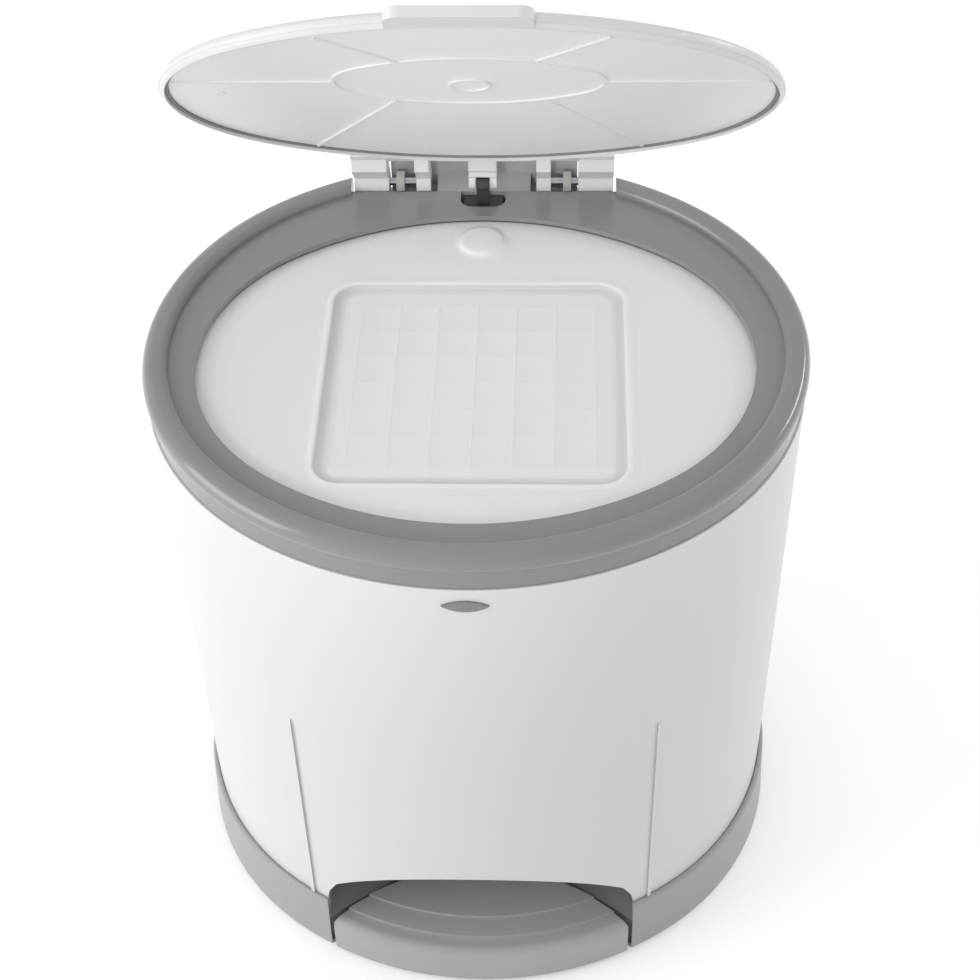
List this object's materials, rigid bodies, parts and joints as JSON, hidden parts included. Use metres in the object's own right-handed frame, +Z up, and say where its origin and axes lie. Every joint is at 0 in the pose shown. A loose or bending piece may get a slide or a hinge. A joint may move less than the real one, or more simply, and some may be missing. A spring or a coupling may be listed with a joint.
{
  "type": "nappy bin",
  "caption": "Oval pedal bin for used nappies: white body on a grey base, grey rim, hinged lid and a drop flap under it, worked together by the foot pedal.",
  "frame": {"origin": "on the floor under the middle of the bin", "axes": "+Z up, the pedal side faces -Y, +X to the right seen from behind the bin"},
  "size_m": [0.3016, 0.2836, 0.499],
  "materials": {
    "white_plastic": "satin",
    "grey_plastic": "satin",
    "dark_plastic": "matt",
    "dark_rubber": "matt",
    "steel": "brushed"
  },
  "bodies": {
    "bin": {"base_tray": "grey_plastic", "rubber_feet": "dark_rubber", "body_shell": "white_plastic", "front_badge": "grey_plastic", "pedal_hood": "grey_plastic", "inner_floor": "white_plastic", "rod_duct": "white_plastic", "bag_hoop": "white_plastic", "rim_ring": "grey_plastic", "hinge_block": "grey_plastic", "hinge_pins": "steel", "flap_pins": "steel", "pedal_axle": "steel", "base_screws": "steel", "hinge_screws": "steel", "floor_screws": "steel", "axle_clips": "steel"},
    "lid": {"lid_shell": "white_plastic", "lid_panel": "white_plastic", "lid_seal": "dark_rubber", "lid_arm_pin": "steel"},
    "flap": {"flap_plate": "white_plastic", "flap_seal": "dark_rubber", "flap_crank_pin": "steel"},
    "lift": {"lift_rod": "steel", "lift_yoke": "dark_plastic", "rod_foot": "dark_plastic"},
    "pedal": {"foot_pedal": "grey_plastic"}
  },
  "joints": [
    {"name": "lid_hinge", "type": "hinge", "parent": "bin", "child": "lid", "pos_m": [0, 0.124, 0.3035], "axis": [1, 0, 0], "range_deg": [0, 47]},
    {"name": "flap_hinge", "type": "hinge", "parent": "bin", "child": "flap", "pos_m": [0, 0.103, 0.289], "axis": [1, 0, 0], "range_deg": [0, 60.05]},
    {"name": "rod_slide", "type": "slide", "parent": "bin", "child": "lift", "axis": [0, 0, -1], "range_m": [0, 0.01006]},
    {"name": "pedal_hinge", "type": "hinge", "parent": "bin", "child": "pedal", "pos_m": [0, 0.02, 0.02], "axis": [-1, 0, 0], "range_deg": [0, 5.35]}
  ],
  "couplings": [
    {"joint": "flap_hinge", "follows": "lid_hinge", "ratio": 1.2766},
    {"joint": "rod_slide", "follows": "lid_hinge", "m_per_rad": 0.012257},
    {"joint": "pedal_hinge", "follows": "lid_hinge", "ratio": 0.11366}
  ]
}
